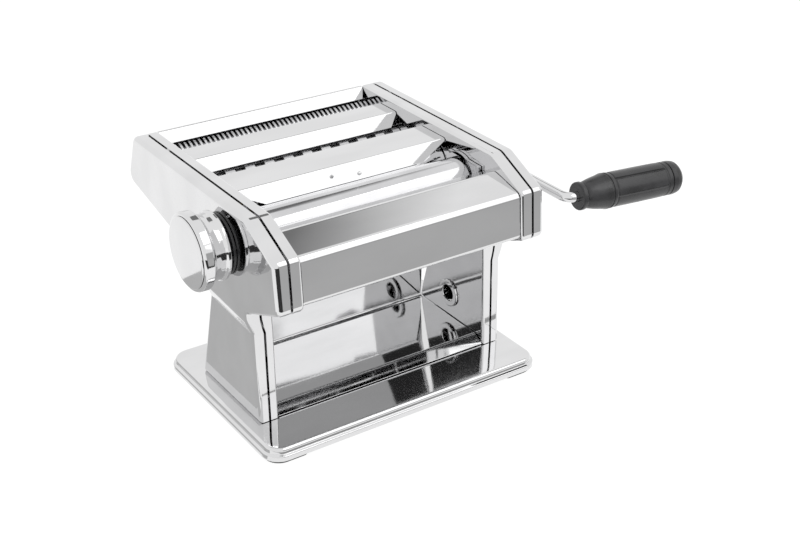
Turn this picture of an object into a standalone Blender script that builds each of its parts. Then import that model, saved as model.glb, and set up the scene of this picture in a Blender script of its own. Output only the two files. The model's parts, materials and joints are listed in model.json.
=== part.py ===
"""Hand-cranked pasta roller: a pressed base, two side frames with outer covers, one pair of smooth rollers and two
pairs of cutting rollers. X runs from the thickness knob to the crank, -Y is the nose side and +Z is up. Lengths are
written in millimetres and turned into metres when a mesh is made."""

import math

import bmesh
import bpy
from mathutils import Matrix, Vector

for old in list(bpy.data.objects):
    bpy.data.objects.remove(old, do_unlink=True)

# Driving dimensions, in millimetres.
SHIFT_X = -38.87  # puts the middle of the whole outline, crank included, on the origin
SHIFT_Y = -14.53
BASE_TOP = 10.0  # the pressed base's upper face above the table
INNER_HALF = 75.25  # half the gap between the side frames
SHEET = 1.0  # thickness of the pressed covers
FRAME_T = 1.5  # thickness of the side frames
SEAM_FRAME = 82.4  # where a side frame's flange ends
SEAM_COVER = 83.1  # where the outer cover's flange starts
COVER_FACE = 92.0  # outer face of the head
LEG_INSET = 3.7  # how far the leg's outer face stands inside the head's
LEG_SEAM_INSET = 2.0
CREASE_Z = 61.3  # height of the crease between head and leg, above the base
BASE_HALF_X = 96.3
BASE_HALF_Y = 66.4
ROLLER_R = 14.0
ROLLER_Z = 109.0
KNOB_Y = -9.95  # axis of the thickness knob and of the eccentric bearings
ECCENTRICITY = 1.0
FRONT_ROLLER_Y = KNOB_Y - ECCENTRICITY
REAR_ROLLER_Y = 19.5
CUTTER_R = 10.8
CUTTER_SPACING = 19.3
NARROW_R = 10.2
NARROW_SPACING = 17.8
WIDE_REAR_Y = 64.1
WIDE_Z = 108.3
NARROW_REAR_Y = 102.2
NARROW_Z = 115.2
WIDE_PITCH = 13.65
NARROW_PITCH = 3.34
GEAR_INNER = 78.6  # the gears fill this stretch between a side frame and its cover
GEAR_OUTER = 82.2
SHAFT_R = 5.0
DRIVE_BORE_R = 3.4  # takes the end of the crank rod
DRIVE_END = 90.6
ARM_X = 109.0
ARM_R = 3.5
ARM_END_Y = -72.0
GRIP_TIP = (192.6, -79.5, 106.2)

CHROME = ("chrome", (0.80, 0.80, 0.82), 1.0, 0.08)
STEEL = ("steel", (0.62, 0.62, 0.63), 1.0, 0.3)
PLASTIC = ("black_plastic", (0.02, 0.02, 0.02), 0.0, 0.35)
RUBBER = ("rubber", (0.015, 0.015, 0.015), 0.0, 0.8)
BRASS = ("brass", (0.75, 0.58, 0.28), 1.0, 0.3)
NYLON = ("nylon", (0.85, 0.85, 0.82), 0.0, 0.5)


def material(spec):
    name, colour, metal, rough = spec
    found = bpy.data.materials.get(name)
    if found:
        return found
    made = bpy.data.materials.new(name)
    made.use_nodes = True
    shader = made.node_tree.nodes["Principled BSDF"]
    shader.inputs["Base Color"].default_value = (*colour, 1.0)
    shader.inputs["Metallic"].default_value = metal
    shader.inputs["Roughness"].default_value = rough
    return made


def finish(name, bm, spec, helper=False):
    """Turns a millimetre mesh into a placed object in metres."""
    bmesh.ops.recalc_face_normals(bm, faces=bm.faces[:])
    offset = Vector((SHIFT_X, SHIFT_Y, BASE_TOP))
    for vert in bm.verts:
        vert.co = (vert.co + offset) * 0.001
    mesh = bpy.data.meshes.new(name)
    bm.to_mesh(mesh)
    bm.free()
    obj = bpy.data.objects.new(name, mesh)
    bpy.context.scene.collection.objects.link(obj)
    mesh.materials.append(material(spec))
    if helper:
        obj.hide_render = True
        obj.display_type = "WIRE"
    return obj


def pivot(obj, y, z, x=0.0):
    """Moves an object's origin onto its own turning axis without moving the shape."""
    point = (Vector((x, y, z)) + Vector((SHIFT_X, SHIFT_Y, BASE_TOP))) * 0.001
    obj.data.transform(Matrix.Translation(-point))
    obj.location = point
    return obj


def rounded(corners, step=30.0):
    """A closed outline with each (a, b, r) corner replaced by an arc of radius r."""
    out = []
    count = len(corners)
    for i, (a, b, r) in enumerate(corners):
        here = Vector((a, b))
        if r <= 0:
            out.append(here)
            continue
        before = (Vector(corners[i - 1][:2]) - here).normalized()
        after = (Vector(corners[(i + 1) % count][:2]) - here).normalized()
        out.extend(arc(here, before, after, r, step))
    return out


def arc(here, before, after, r, step=30.0):
    """Points of a fillet of radius r at a corner whose arms point along before and after."""
    half = before.angle(after) / 2
    reach = r / math.tan(half)
    start = here + before * reach
    end = here + after * reach
    centre = here + (before + after).normalized() * (r / math.sin(half))
    turn = math.pi - 2 * half
    pieces = max(1, round(math.degrees(turn) / step))
    first = (start - centre).normalized()
    side = (end - centre).normalized()
    points = []
    for k in range(pieces + 1):
        t = k / pieces
        mix = first.slerp(side, t) if turn > 1e-6 else first
        points.append(centre + mix * r)
    return points


def rounded_path(corners, step=30.0):
    """An open path with its inner corners rounded."""
    out = [Vector(corners[0][:2])]
    for i in range(1, len(corners) - 1):
        here = Vector(corners[i][:2])
        before = (Vector(corners[i - 1][:2]) - here).normalized()
        after = (Vector(corners[i + 1][:2]) - here).normalized()
        r = corners[i][2]
        out.extend(arc(here, before, after, r, step) if r > 0 else [here])
    out.append(Vector(corners[-1][:2]))
    return out


def area(outline):
    return 0.5 * sum(a.x * b.y - b.x * a.y for a, b in zip(outline, outline[1:] + outline[:1]))


def inset(outline, distance):
    """The closed outline moved inwards by a distance along its mitred corners."""
    turn = 1.0 if area(outline) > 0 else -1.0
    out = []
    count = len(outline)
    for i, here in enumerate(outline):
        d1 = (here - outline[i - 1]).normalized()
        d2 = (outline[(i + 1) % count] - here).normalized()
        n1 = Vector((-d1.y, d1.x)) * turn
        n2 = Vector((-d2.y, d2.x)) * turn
        middle = (n1 + n2).normalized()
        out.append(here + middle * (distance / max(0.5, middle.dot(n1))))
    return out


def ribbon(path, thickness):
    """The closed outline of a sheet of even thickness that lies to the left of an open path."""
    other = []
    for i, here in enumerate(path):
        d1 = (here - path[i - 1]).normalized() if i else None
        d2 = (path[i + 1] - here).normalized() if i + 1 < len(path) else None
        n1 = Vector((-(d1 or d2).y, (d1 or d2).x))
        n2 = Vector((-(d2 or d1).y, (d2 or d1).x))
        middle = (n1 + n2).normalized()
        other.append(here + middle * (thickness / max(0.5, middle.dot(n1))))
    return path + other[::-1]


def ring_of(bm, outline, x):
    """One loop of vertices with the outline's (y, z) points at height x along X."""
    return [bm.verts.new((x, p[0], p[1])) for p in outline]


def skin(bm, first, second):
    count = len(first)
    for i in range(count):
        j = (i + 1) % count
        bm.faces.new((first[i], first[j], second[j], second[i]))


def prism(name, outline, low, high, spec, helper=False):
    """A (y, z) outline carried along X from low to high."""
    bm = bmesh.new()
    a = ring_of(bm, outline, low)
    b = ring_of(bm, outline, high)
    skin(bm, a, b)
    bm.faces.new(a)
    bm.faces.new(b)
    return finish(name, bm, spec, helper)


def box(name, low, high, spec, helper=False):
    bm = bmesh.new()
    bmesh.ops.create_cube(bm, size=1.0)
    for vert in bm.verts:
        vert.co = Vector([low[i] if vert.co[i] < 0 else high[i] for i in range(3)])
    return finish(name, bm, spec, helper)


def turned_mesh(profile, segments, phase=0.5, bore=False):
    """A body turned about X from (x, radius) points; with bore the profile is a closed ring section."""
    bm = bmesh.new()
    loops = []
    for x, r in profile:
        if r <= 0:
            loops.append([bm.verts.new((x, 0, 0))])
            continue
        loop = []
        for k in range(segments):
            t = 2 * math.pi * (k + phase) / segments
            loop.append(bm.verts.new((x, r * math.cos(t), r * math.sin(t))))
        loops.append(loop)
    pairs = list(zip(loops, loops[1:]))
    if bore:
        pairs.append((loops[-1], loops[0]))
    for a, b in pairs:
        join_loops(bm, a, b)
    if not bore:
        for end in (loops[0], loops[-1]):
            if len(end) > 1:
                bm.faces.new(end)
    return bm


def join_loops(bm, a, b):
    if len(a) == 1 and len(b) == 1:
        return
    if len(a) == 1 or len(b) == 1:
        tip = a[0] if len(a) == 1 else b[0]
        rim = b if len(a) == 1 else a
        for i in range(len(rim)):
            bm.faces.new((tip, rim[i], rim[(i + 1) % len(rim)]))
        return
    skin(bm, a, b)


def turned(name, profile, y, z, spec, segments=24, bore=False, phase=0.5, helper=False):
    bm = turned_mesh(profile, segments, phase, bore)
    bmesh.ops.translate(bm, verts=bm.verts[:], vec=(0, y, z))
    return finish(name, bm, spec, helper)


def cut(target, cutter):
    change = target.modifiers.new("cut", "BOOLEAN")
    change.operation = "DIFFERENCE"
    change.solver = "EXACT"
    change.object = cutter


def drill(target, label, x_low, x_high, y, z, r, segments=24):
    name = "cut_" + target.name + "_" + label
    profile = [(x_low, r), (x_high, r)]
    cut(target, turned(name, profile, y, z, STEEL, segments, helper=True))


def side_outline():
    """Head and leg seen from the side, as (y, z) above the base."""
    corners = [
        (107.0, 134.8, 6.0),
        (-39.0, 134.8, 9.0),
        (-70.4, 120.0, 4.0),
        (-72.6, 89.2, 5.0),
        (-35.2, 74.0, 0.6),
        (-36.8, 0.4, 0.0),
        (36.2, 0.4, 0.0),
        (14.5, 78.5, 10.0),
        (122.3, 102.0, 8.0),
    ]
    return rounded(corners)


def leg_amount(y, z):
    """1 on the leg, 0 on the head, and a straight flare between."""
    above = z - (CREASE_Z + 0.06 * y)
    return min(1.0, max(0.0, 1.0 - above / 11.0))


def pan(name, open_x, face_x, radius, thickness, side, open_in, face_in, spec):
    """A pressed side pan: a face in the YZ plane with a rounded edge and a flange towards open_x."""
    outline = side_outline()
    bm = bmesh.new()
    way = 1.0 if face_x > open_x else -1.0
    loops = [ring_of(bm, outline, open_x)]
    for degrees in (0, 45, 90):
        t = math.radians(degrees)
        step_in = radius * (1 - math.cos(t))
        x = face_x - way * radius * (1 - math.sin(t))
        loops.append(ring_of(bm, inset(outline, step_in) if step_in else outline, x))
    inner = [ring_of(bm, inset(outline, thickness), open_x)]
    inner.append(ring_of(bm, inset(outline, thickness), face_x - way * radius))
    inner.append(ring_of(bm, inset(outline, radius), face_x - way * thickness))
    for a, b in zip(loops, loops[1:]):
        skin(bm, a, b)
    for a, b in zip(inner, inner[1:]):
        skin(bm, a, b)
    skin(bm, loops[0], inner[0])
    bm.faces.new(loops[-1])
    bm.faces.new(inner[-1])
    for height in (CREASE_Z, CREASE_Z + 11.0):
        where = (0, 0, height)
        slope = (0, -0.06, 1)
        geom = bm.verts[:] + bm.edges[:] + bm.faces[:]
        bmesh.ops.bisect_plane(bm, geom=geom, plane_co=where, plane_no=slope, dist=1e-5)
    for vert in bm.verts:
        t = (vert.co.x - open_x) / (face_x - open_x)
        amount = leg_amount(vert.co.y, vert.co.z)
        vert.co.x -= amount * (open_in + (face_in - open_in) * t)
        vert.co.x *= side
    return finish(name, bm, spec)


def roller_ports():
    return ((REAR_ROLLER_Y, ROLLER_Z), (WIDE_REAR_Y, WIDE_Z), (NARROW_REAR_Y, NARROW_Z))


def side_frames():
    for side, word in ((-1, "left"), (1, "right")):
        frame = pan(
            "side_frame_" + word, SEAM_FRAME, INNER_HALF, 2.0, FRAME_T, side,
            LEG_SEAM_INSET, 0.0, CHROME,
        )
        low = min(side * 70, side * 86)
        high = max(side * 70, side * 86)
        drill(frame, "eccentric", low, high, KNOB_Y, ROLLER_Z, 9.35, 16)
        drill(frame, "rear", low, high, REAR_ROLLER_Y, ROLLER_Z, 7.35, 16)
        drill(frame, "wide_rear", low, high, WIDE_REAR_Y, WIDE_Z, 6.0, 12)
        drill(frame, "wide_front", low, high, WIDE_REAR_Y - CUTTER_SPACING, WIDE_Z, 6.0, 12)
        drill(frame, "narrow_rear", low, high, NARROW_REAR_Y, NARROW_Z, 6.0, 12)
        drill(frame, "narrow_front", low, high, NARROW_REAR_Y - NARROW_SPACING, NARROW_Z, 6.0, 12)
        for label, (y, z) in tie_rod_places().items():
            drill(frame, label, low, high, y, z, 2.3, 8)
        if side > 0:
            drill(frame, "clamp", low, high, 0.5, 22.0, 7.5, 16)


def side_covers():
    for side, word in ((-1, "left"), (1, "right")):
        cover = pan(
            "side_cover_" + word, SEAM_COVER, COVER_FACE, 3.5, SHEET, side,
            LEG_SEAM_INSET, LEG_INSET, CHROME,
        )
        if side < 0:
            drill(cover, "knob", -96, -86, KNOB_Y, ROLLER_Z, 6.0, 16)
        else:
            for label, (y, z) in zip(("smooth", "wide", "narrow"), roller_ports()):
                drill(cover, label, 86, 96, y, z, 6.6, 16)


def tie_rod_places():
    return {"tie_rod_front": (-56.0, 103.0), "tie_rod_middle": (38.0, 91.0), "tie_rod_rear": (84.0, 99.0)}


def tie_rods():
    """Rods that hold the side frames together, each with a formed head at both ends."""
    for label, (y, z) in tie_rod_places().items():
        right = [(74.9, 2.0), (77.1, 2.0), (77.1, 3.4), (79.2, 3.4)]
        left = [(-x, r) for x, r in reversed(right)]
        turned(label, left + right, y, z, STEEL, 10)


def base_tray():
    """The pressed base, hollow underneath, with a small step round its rim."""
    corners = [(-1, -1), (1, -1), (1, 1), (-1, 1)]

    def loop(bm, grow, z, radius):
        pts = rounded([(sx * (BASE_HALF_X + grow), sy * (BASE_HALF_Y + grow), radius) for sx, sy in corners], 22.5)
        return [bm.verts.new((p.x, p.y, z)) for p in pts]

    bm = bmesh.new()
    outer = [(-2.0, 0.0, 8.0), (-0.6, -0.6, 9.4), (0.0, -2.0, 10.0), (0.0, -3.6, 10.0), (1.6, -4.4, 11.6)]
    outer.append((1.6, -7.6, 11.6))
    inner = [(0.4, -7.6, 10.4), (0.4, -4.9, 10.4), (-1.2, -3.9, 8.8), (-1.2, -2.2, 8.8), (-2.4, -1.2, 7.6)]
    loops = [loop(bm, *one) for one in outer + inner]
    for a, b in zip(loops, loops[1:]):
        skin(bm, a, b)
    bm.faces.new(loops[0])
    bm.faces.new(loops[-1])
    finish("base_plate", bm, CHROME)


def feet():
    """Rubber corner feet pressed into the tray's rim from below."""
    for sx, wx in ((-1, "left"), (1, "right")):
        for sy, wy in ((-1, "front"), (1, "rear")):
            x0 = sx * (BASE_HALF_X - 0.1)
            y0 = sy * (BASE_HALF_Y - 0.1)
            arm = 24.0
            bm = bmesh.new()
            flat = [
                (x0, y0, 9.9),
                (x0 - sx * arm, y0, 3.0),
                (x0 - sx * arm, y0 - sy * 12.0, 3.0),
                (x0 - sx * 12.0, y0 - sy * 12.0, 2.0),
                (x0 - sx * 12.0, y0 - sy * arm, 3.0),
                (x0, y0 - sy * arm, 3.0),
            ]
            pts = rounded(flat, 45.0)
            lows = inset(pts, 0.8)
            rings = []
            for points, z in ((lows, -10.0), (pts, -9.2), (pts, -5.3)):
                rings.append([bm.verts.new((p.x, p.y, z)) for p in points])
            skin(bm, rings[0], rings[1])
            skin(bm, rings[1], rings[2])
            bm.faces.new(rings[0])
            bm.faces.new(rings[-1])
            finish("foot_" + wy + "_" + wx, bm, RUBBER)


def sheet(name, path, thickness, half_width, spec=CHROME):
    return prism(name, ribbon(rounded_path(path), thickness), -half_width, half_width, spec)


def chamfer_ends(target, y_low, y_high, z_top, z_low, x_top, x_low):
    """Slants the lower corners of a chute so that it narrows towards the rollers."""
    for side, word in ((-1, "left"), (1, "right")):
        bm = bmesh.new()
        slope = (x_top - x_low) / (z_top - z_low)
        low = (x_low - slope * 6, z_low - 6)
        shape = [(x_top, z_top), (x_top + 6, z_top), (x_top + 6, z_low - 6), low]
        a = [bm.verts.new((side * x, y_low, z)) for x, z in shape]
        b = [bm.verts.new((side * x, y_high, z)) for x, z in shape]
        skin(bm, a, b)
        bm.faces.new(a)
        bm.faces.new(b)
        cut(target, finish("cut_" + target.name + "_" + word, bm, STEEL, True))


def panels():
    """The nose, the rear cover, the two top strips and the centre panel between the legs."""
    nose = [
        (-31.2, 114.2, 0), (-31.2, 120.6, 1.6), (-44.0, 125.0, 5.0), (-68.6, 118.9, 5.0),
        (-70.9, 90.6, 3.0), (-62.0, 88.6, 0),
    ]
    sheet("nose_cover", nose, SHEET, 74.9)
    rear = [(98.0, 98.4, 0), (119.8, 103.0, 5.0), (107.2, 133.9, 1.6), (104.6, 133.9, 1.2), (100.9, 126.3, 0)]
    cover = sheet("rear_cover", rear, SHEET, 74.9)
    chamfer_ends(cover, 99.0, 105.6, 133.0, 125.0, 74.9, 72.6)
    strip = [(83.2, 126.2, 0), (83.2, 128.9, 1.2), (63.7, 128.9, 1.2), (59.7, 120.0, 0)]
    rear_strip = sheet("top_strip_rear", strip, SHEET, 74.9)
    chamfer_ends(rear_strip, 58.0, 66.0, 127.4, 119.4, 74.9, 69.0)
    strip = [(34.6, 126.4, 0), (34.6, 128.9, 1.2), (8.6, 128.9, 1.2), (3.9, 118.2, 0)]
    front_strip = sheet("top_strip_front", strip, SHEET, 74.9)
    chamfer_ends(front_strip, 2.4, 10.6, 127.4, 117.8, 74.9, 54.5)
    centre = [(13.5, 86.0, 0), (33.9, 40.0, 6.0), (33.9, 4.6, 3.0), (-28.6, 4.6, 3.0), (-36.0, 0.5, 0)]
    sheet("centre_panel", centre, -0.9, 74.7)


def smooth_rollers():
    """Plain rollers; the rear one is driven and carries a slotted drive end on the crank side."""
    left_end = [(-78.4, 0.0), (-78.4, SHAFT_R), (-74.9, SHAFT_R), (-74.9, ROLLER_R - 0.5), (-74.4, ROLLER_R)]
    right_end = [(74.4, ROLLER_R), (74.9, ROLLER_R - 0.5), (74.9, SHAFT_R)]
    profile = left_end + right_end + [(84.6, SHAFT_R), (84.6, 0.0)]
    front = turned("front_roller", profile, FRONT_ROLLER_Y, ROLLER_Z, CHROME, 32)
    pivot(front, FRONT_ROLLER_Y, ROLLER_Z)
    drive = [(DRIVE_END, SHAFT_R), (DRIVE_END, DRIVE_BORE_R), (82.6, DRIVE_BORE_R), (82.6, 0.0)]
    rear = turned("rear_roller", left_end + right_end + drive, REAR_ROLLER_Y, ROLLER_Z, CHROME, 32)
    pivot(rear, REAR_ROLLER_Y, ROLLER_Z)


def groove_edges(pitch, start, half):
    """X positions of the groove centres that fit inside the roller's half length."""
    first = start
    while first - pitch > -half:
        first -= pitch
    found = []
    while first < half:
        found.append(first)
        first += pitch
    return found


def wide_profile(centres, root):
    """Square grooves: low between the discs of the facing roller, high elsewhere."""
    body = []
    for c in centres:
        low = max(c - 3.45, -74.9)
        high = min(c + 3.45, 74.9)
        if low > -74.9:
            body += [(low, CUTTER_R), (low, root)]
        if high < 74.9:
            body += [(high, root), (high, CUTTER_R)]
    return body


def cutter(name, body, y, z, driven, segments):
    """A cutting roller: its grooved body between two journals. A driven one carries a socket for the crank."""
    first_r = body[0][1]
    last_r = body[-1][1]
    left = [(-84.4, 0.0), (-84.4, SHAFT_R), (-74.9, SHAFT_R), (-74.9, first_r)]
    right = [(74.9, last_r), (74.9, SHAFT_R)]
    if driven:
        right += [(82.3, SHAFT_R), (82.3, 3.1), (84.6, 3.1), (84.6, 0.0)]
        socket = [(82.6, DRIVE_BORE_R), (82.6, SHAFT_R), (DRIVE_END, SHAFT_R), (DRIVE_END, DRIVE_BORE_R)]
        drive = name.split("_")[0] + "_drive_socket"
        pivot(turned(drive, socket, y, z, STEEL, 16, True), y, z)
    else:
        right += [(84.4, SHAFT_R), (84.4, 0.0)]
    pivot(turned(name, left + body + right, y, z, STEEL, segments), y, z)


def wide_cutters():
    root = CUTTER_SPACING - CUTTER_R - 0.35
    centres = groove_edges(WIDE_PITCH, -2.1, 74.0)
    cutter("wide_cutter_rear", wide_profile(centres, root), WIDE_REAR_Y, WIDE_Z, True, 14)
    discs = groove_edges(WIDE_PITCH, -2.1 + WIDE_PITCH / 2, 78.0)
    body = wide_profile(discs, root)
    cutter("wide_cutter_front", body, WIDE_REAR_Y - CUTTER_SPACING, WIDE_Z, False, 14)


def narrow_profile(first_is_ridge):
    """V grooves at the narrow pitch; the facing roller's ridges run in them."""
    low = NARROW_SPACING - NARROW_R - 0.25
    steps = 88
    body = []
    for k in range(steps + 1):
        ridge = (k % 2 == 0) == first_is_ridge
        body.append(((k - steps / 2) * NARROW_PITCH / 2, NARROW_R if ridge else low))
    return [(-74.6, low)] + body + [(74.6, low)]


def narrow_cutters():
    cutter("narrow_cutter_rear", narrow_profile(True), NARROW_REAR_Y, NARROW_Z, True, 10)
    cutter("narrow_cutter_front", narrow_profile(False), NARROW_REAR_Y - NARROW_SPACING, NARROW_Z, False, 10)


def gear(name, teeth, outer, root, widths, y, z, side, half_turn):
    """A spur gear on a journal. Widths are a tooth's half widths at root and tip, as shares of the pitch.
    half_turn puts a gap instead of a tooth on the +Y side."""
    step = 2 * math.pi / teeth
    at_root, at_tip = widths
    outline = []
    for k in range(teeth):
        base = k * step + (step / 2 if half_turn else 0.0)
        for share, r in ((-at_root, root), (-at_tip, outer), (at_tip, outer), (at_root, root)):
            t = base + share * step
            outline.append(Vector((y + r * math.cos(t), z + r * math.sin(t))))
    x_low, x_high = sorted((side * GEAR_INNER, side * GEAR_OUTER))
    wheel = prism(name, outline, x_low, x_high, NYLON)
    drill(wheel, "bore", x_low - 2, x_high + 2, y, z, 5.25, 14)
    pivot(wheel, y, z)


def gears():
    """Each pair has equal gears. A +Y tooth of the front one faces a gap of the rear one when teeth is even."""
    # The smooth rollers' teeth are long, so that they stay in mesh while the gap is opened and closed.
    widest = REAR_ROLLER_Y - FRONT_ROLLER_Y
    outer = widest / 2 + 0.35
    root = widest - 2 * ECCENTRICITY - outer - 0.25
    slim = (0.18, 0.065)
    gear("front_roller_gear", 24, outer, root, slim, FRONT_ROLLER_Y, ROLLER_Z, 1, False)
    gear("rear_roller_gear", 24, outer, root, slim, REAR_ROLLER_Y, ROLLER_Z, 1, True)
    cutting = (("wide", WIDE_REAR_Y, CUTTER_SPACING, WIDE_Z, -1), ("narrow", NARROW_REAR_Y, NARROW_SPACING, NARROW_Z, 1))
    for word, y, spacing, z, side in cutting:
        outer = spacing / 2 + 1.25
        root = spacing / 2 - 1.55
        gear(word + "_front_gear", 12, outer, root, (0.235, 0.085), y - spacing, z, side, False)
        gear(word + "_rear_gear", 12, outer, root, (0.235, 0.085), y, z, side, True)


def bearings():
    """Bushes in the side frames. The front roller's are eccentric and turn with the thickness knob."""
    for side, word in ((-1, "left"), (1, "right")):
        ring = [(side * 75.2, 5.2), (side * 75.2, 7.0), (side * 77.9, 7.0), (side * 77.9, 5.2)]
        turned("rear_roller_bush_" + word, ring, REAR_ROLLER_Y, ROLLER_Z, BRASS, 16, True)
        eccentric(side, word)
        for pair, y, z in (("wide", WIDE_REAR_Y, WIDE_Z), ("narrow", NARROW_REAR_Y, NARROW_Z)):
            front_y = y - (CUTTER_SPACING if pair == "wide" else NARROW_SPACING)
            bearing_block(pair + "_bearing_" + word, side, y, front_y, z)


def eccentric(side, word):
    bm = bmesh.new()
    count = 16
    rings = []
    low = side * 75.2
    high = side * 78.3
    for x in (low, high):
        outer = []
        inner = []
        for k in range(count):
            t = 2 * math.pi * (k + 0.5) / count
            outer.append(Vector((KNOB_Y + 9.1 * math.cos(t), ROLLER_Z + 9.1 * math.sin(t))))
            inner.append(Vector((FRONT_ROLLER_Y + 5.2 * math.cos(t), ROLLER_Z + 5.2 * math.sin(t))))
        rings.append((ring_of(bm, outer, x), ring_of(bm, inner, x)))
    (a, b), (c, d) = rings
    skin(bm, a, c)
    skin(bm, b, d)
    skin(bm, a, b)
    skin(bm, c, d)
    pivot(finish("eccentric_bush_" + word, bm, BRASS), KNOB_Y, ROLLER_Z)


def bearing_block(name, side, rear_y, front_y, z):
    """A plate behind the side frame that carries both journals of a cutting pair."""
    outline = []
    for y, start in ((rear_y, -90), (front_y, 90)):
        for k in range(6):
            t = math.radians(start + 180 * k / 5)
            outline.append(Vector((y + 6.55 * math.cos(t), z + 6.55 * math.sin(t))))
    x_low, x_high = sorted((side * 77.05, side * 78.2))
    block = prism(name, outline, x_low, x_high, BRASS)
    for label, y in (("rear", rear_y), ("front", front_y)):
        drill(block, label, min(side * 72, side * 81), max(side * 72, side * 81), y, z, 5.22, 14)


def guides():
    """Cheeks at both ends of the smooth rollers that keep the dough on them."""
    for side, word in ((-1, "left"), (1, "right")):
        outline = [Vector((1.2, 124.2)), Vector((-30.4, 123.4)), Vector((-30.4, 114.0)), Vector((-27.0, 110.0))]
        for degrees in (172, 150, 128, 106, 84, 64, 47):
            t = math.radians(degrees)
            outline.append(Vector((KNOB_Y + 16.4 * math.cos(t), ROLLER_Z + 16.4 * math.sin(t))))
        x_low, x_high = sorted((side * 72.6, side * 74.9))
        prism("dough_guide_" + word, outline, x_low, x_high, STEEL)


def scrapers():
    """Blades that lift the sheet off the smooth rollers, and a comb frame under each cutting pair."""
    front = [(-20.0, 84.0, 0), (-12.0, 84.0, 0.8), (-11.0, 92.6, 0)]
    sheet("scraper_front", front, 0.8, 74.6, STEEL)
    rear = [(19.6, 94.2, 0), (20.6, 84.0, 0.8), (28.0, 84.0, 0)]
    sheet("scraper_rear", rear, 0.8, 74.6, STEEL)
    for name, y, z in (("wide_comb", WIDE_REAR_Y, WIDE_Z), ("narrow_comb", NARROW_REAR_Y, NARROW_Z)):
        comb_frame(name, y, y - (CUTTER_SPACING if name == "wide_comb" else NARROW_SPACING), z)


def comb_frame(name, rear_y, front_y, z):
    top = z - CUTTER_R - 0.9
    middle = (rear_y + front_y) / 2
    reach = 5.6 if name == "wide_comb" else 4.4
    depth = 4.6 if name == "wide_comb" else 1.6
    frame = box(name, (-74.6, middle - reach, top - depth), (74.6, middle + reach, top), STEEL)
    inside = box("cut_" + name, (-72.0, middle - reach + 1.1, top - 9), (72.0, middle + reach - 1.1, top + 3), STEEL, True)
    cut(frame, inside)


def knob():
    """The thickness knob: it slides on its shaft against a spring that a wide-headed screw holds in."""
    stub = [(-111.6, 0.0), (-111.6, 4.0), (-80.6, 4.0), (-80.6, 8.6), (-78.7, 8.6), (-78.7, 0.0)]
    shaft = turned("adjuster_shaft", stub, KNOB_Y, ROLLER_Z, STEEL, 20)
    drill(shaft, "thread", -112.0, -106.4, KNOB_Y, ROLLER_Z, 2.3, 8)
    pivot(shaft, KNOB_Y, ROLLER_Z)
    screw = [(-113.2, 0.0), (-113.2, 7.4), (-112.0, 7.4), (-112.0, 2.0), (-107.0, 2.0), (-107.0, 0.0)]
    pivot(turned("knob_screw", screw, KNOB_Y, ROLLER_Z, STEEL, 14), KNOB_Y, ROLLER_Z)
    body = [
        (-113.9, 8.4), (-113.9, 21.6), (-113.2, 22.9), (-111.9, 23.4), (-108.4, 23.4), (-107.4, 22.6),
        (-104.2, 20.2), (-101.6, 19.4), (-99.4, 19.4), (-98.4, 20.0), (-97.8, 20.6), (-96.6, 20.6),
        (-96.2, 20.0), (-96.2, 4.3), (-103.9, 4.3), (-103.9, 8.4),
    ]
    pivot(turned("thickness_knob", body, KNOB_Y, ROLLER_Z, CHROME, 28, True), KNOB_Y, ROLLER_Z)
    disc = [(-115.4, 0.0), (-115.4, 16.0), (-115.1, 20.4), (-114.6, 21.3), (-114.2, 21.3), (-114.2, 0.0)]
    pivot(turned("knob_face", disc, KNOB_Y, ROLLER_Z, CHROME, 28), KNOB_Y, ROLLER_Z)
    ring = [(-92.3, 6.2), (-92.3, 18.6), (-93.6, 18.6), (-94.2, 18.0), (-94.2, 11.2), (-95.4, 11.2), (-95.4, 6.2)]
    plate = turned("index_ring", ring, KNOB_Y, ROLLER_Z, PLASTIC, 20, True)
    for k in range(9):
        t = math.radians(90 + 22.5 * k)
        drill(plate, "stop%d" % k, -95.0, -93.2, KNOB_Y + 15 * math.cos(t), ROLLER_Z + 15 * math.sin(t), 1.3, 6)
    # The spring is drawn at the length it has with the knob pulled right out.
    spring = [(-111.3, 4.6), (-111.3, 6.6), (-108.4, 6.6), (-108.4, 4.6)]
    pivot(turned("knob_spring", spring, KNOB_Y, ROLLER_Z, STEEL, 16, True), KNOB_Y, ROLLER_Z)
    pin = [(-95.9, 0.0), (-95.9, 1.0), (-94.5, 1.0), (-94.5, 0.0)]
    pivot(turned("index_pin", pin, KNOB_Y, ROLLER_Z + 15.0, STEEL, 12), KNOB_Y, ROLLER_Z)


def clamp_socket():
    """The flanged socket in the right leg that takes the table clamp's end."""
    ring = [(76.9, 5.6), (76.9, 7.1), (75.0, 7.1), (75.0, 9.6), (74.2, 9.6), (73.7, 8.9), (73.7, 5.6)]
    turned("clamp_socket", ring, 0.5, 22.0, CHROME, 20, True)


def port_rings():
    for label, (y, z) in zip(("smooth", "wide", "narrow"), roller_ports()):
        ring = [(90.9, 5.5), (90.9, 6.2), (92.4, 6.2), (92.4, 8.6), (93.2, 8.6), (93.6, 8.0), (93.6, 5.5)]
        turned(label + "_crank_port", ring, y, z, CHROME, 16, True)


def sweep(path, radius, segments):
    """A round bar along a path of points."""
    bm = bmesh.new()
    up = Vector((0, 0, 1))
    rings = []
    for i, here in enumerate(path):
        before = path[max(0, i - 1)]
        after = path[min(len(path) - 1, i + 1)]
        along = (after - before).normalized()
        side = along.cross(up).normalized()
        top = side.cross(along).normalized()
        ring = []
        for k in range(segments):
            t = 2 * math.pi * (k + 0.5) / segments
            ring.append(bm.verts.new(here + side * (radius * math.cos(t)) + top * (radius * math.sin(t))))
        rings.append(ring)
    for a, b in zip(rings, rings[1:]):
        skin(bm, a, b)
    bm.faces.new(rings[0])
    bm.faces.new(rings[-1])
    return bm


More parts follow.
